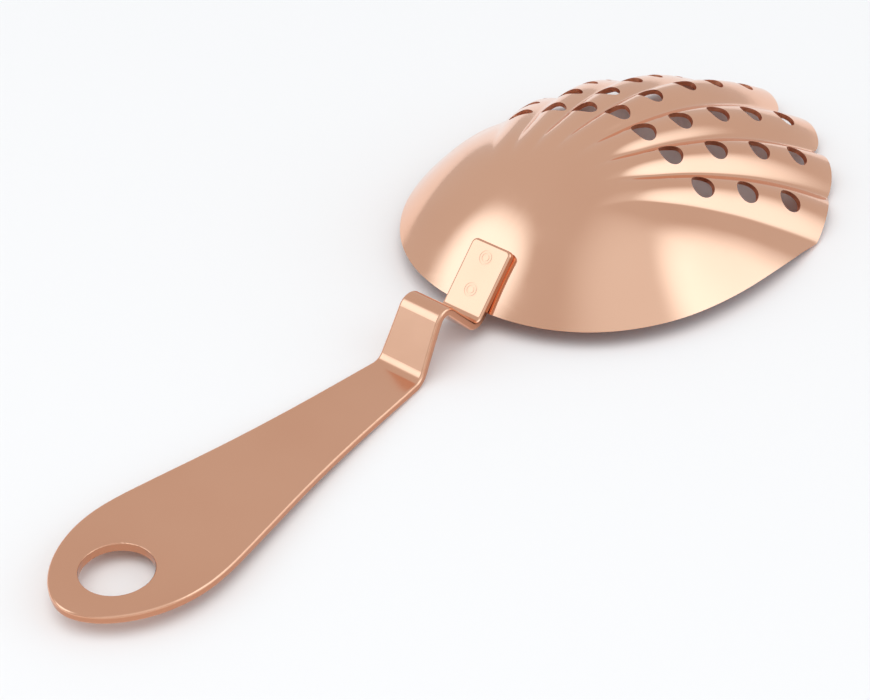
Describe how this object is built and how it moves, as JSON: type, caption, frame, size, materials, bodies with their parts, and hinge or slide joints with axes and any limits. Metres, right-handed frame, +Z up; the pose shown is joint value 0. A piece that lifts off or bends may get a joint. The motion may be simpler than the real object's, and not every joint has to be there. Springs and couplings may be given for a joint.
{
  "type": "julep strainer",
  "caption": "Perforated scallop-shell strainer bowl, convex side up, with a bent strip handle spot-welded to its back.",
  "frame": {"origin": "centre of the bounding box in X and Y, on the table the tool lies on (z = 0)", "axes": "+X from the handle's end towards the bowl's front tip, +Z up, bowl convex side up, mirror plane y = 0"},
  "size_m": [0.1788, 0.068, 0.0218],
  "materials": {
    "strainer_bowl": "polished copper plating on stainless sheet",
    "handle": "polished copper plating on stainless strip",
    "spot_welds": "fused steel under the same copper plating"
  },
  "bodies": {
    "root": {"strainer_bowl": "strainer_bowl", "handle": "handle", "spot_welds": "spot_welds"}
  },
  "joints": []
}
